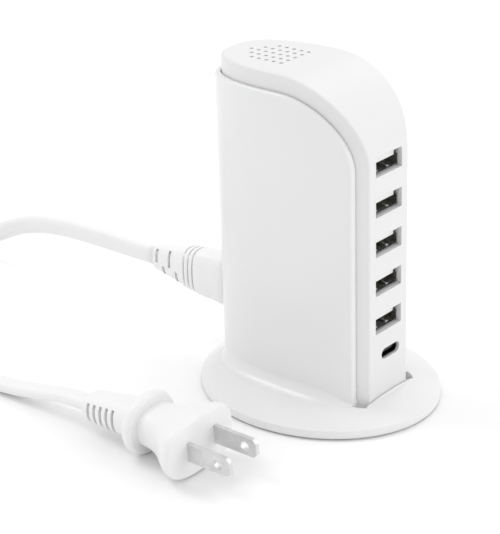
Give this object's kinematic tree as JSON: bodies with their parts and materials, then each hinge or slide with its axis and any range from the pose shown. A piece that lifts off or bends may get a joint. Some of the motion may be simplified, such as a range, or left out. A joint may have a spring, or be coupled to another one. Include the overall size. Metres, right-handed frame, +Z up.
{
  "type": "usb charging tower",
  "caption": "Desktop charging tower with stacked USB sockets, arched housing, oval foot and a detachable mains lead.",
  "frame": {"origin": "middle of the underside of the foot, on the surface it stands on", "axes": "+Z up, -Y the way the sockets face, +X to the right when the sockets are seen from the front"},
  "size_m": [0.12, 0.2864, 0.1145],
  "materials": {
    "housing_white": "glossy moulded plastic",
    "sleeve_white": "satin moulded plastic",
    "rubber_grey": "matte",
    "screw_steel": "zinc plated",
    "socket_steel": "bright nickel plated",
    "shell_dark": "black nickel plated",
    "socket_white": "moulded",
    "socket_black": "moulded",
    "contact_gold": "gold plated",
    "contact_nickel": "nickel plated brass",
    "board_green": "solder mask",
    "capacitor_sleeve": "shrink sleeve",
    "capacitor_can": "drawn can",
    "film_yellow": "moulded box",
    "disc_blue": "dipped",
    "component_black": "moulded",
    "fuse_ceramic": "ceramic tube",
    "ferrite": "ground ferrite",
    "winding_copper": "enamelled copper",
    "winding_tape": "polyester tape",
    "heat_sink_aluminium": "plain sheet",
    "insulator_film": "translucent film",
    "wire_brown": "soft insulation",
    "wire_blue": "soft insulation",
    "cord_white": "soft smooth jacket",
    "plug_white": "soft moulded",
    "tie_black": "twist tie"
  },
  "bodies": {
    "charger": {"anti_slip_pad": "rubber_grey", "board_header": "socket_black", "board_screws": "screw_steel", "bottom_cover": "sleeve_white", "bridge_rectifier": "component_black", "bulk_capacitor_1": "capacitor_sleeve", "bulk_capacitor_2": "capacitor_sleeve", "choke_core": "ferrite", "choke_winding": "winding_copper", "controller_chips": "component_black", "cover_screws": "screw_steel", "front_housing": "housing_white", "fuse": "fuse_ceramic", "heat_sink": "heat_sink_aluminium", "inlet_housing": "socket_black", "inlet_pins": "contact_nickel", "inlet_wire_live": "wire_brown", "inlet_wire_neutral": "wire_blue", "insulating_sheet": "insulator_film", "outer_shell": "sleeve_white", "output_capacitor_1": "capacitor_can", "output_capacitor_2": "capacitor_can", "output_capacitor_3": "capacitor_can", "power_board": "board_green", "power_transistor": "component_black", "transformer_bobbin": "component_black", "transformer_core": "ferrite", "transformer_winding": "winding_tape", "usb_a_can_1": "socket_steel", "usb_a_can_2": "socket_steel", "usb_a_can_3": "socket_steel", "usb_a_can_4": "socket_steel", "usb_a_can_5": "socket_steel", "usb_a_contacts_1": "contact_gold", "usb_a_contacts_2": "contact_gold", "usb_a_contacts_3": "contact_gold", "usb_a_contacts_4": "contact_gold", "usb_a_contacts_5": "contact_gold", "usb_a_tongue_1": "socket_white", "usb_a_tongue_2": "socket_white", "usb_a_tongue_3": "socket_white", "usb_a_tongue_4": "socket_white", "usb_a_tongue_5": "socket_white", "usb_board": "board_green", "usb_c_can": "shell_dark", "usb_c_contacts": "contact_gold", "usb_c_tongue": "socket_black", "x_capacitor": "film_yellow", "y_capacitor": "disc_blue"},
    "power_cord": {"connector_body": "plug_white", "connector_contacts": "contact_nickel", "connector_relief": "cord_white", "cord_lead": "cord_white", "cord_coil": "cord_white", "cord_tie": "tie_black", "cord_tail": "cord_white", "plug_body": "plug_white", "plug_relief": "cord_white", "plug_blade_left": "contact_nickel", "plug_blade_right": "contact_nickel"}
  },
  "joints": [
    {"name": "connector_pull", "type": "slide", "parent": "charger", "child": "power_cord", "axis": [0, 1, 0], "range_m": [0, 0.02]}
  ]
}
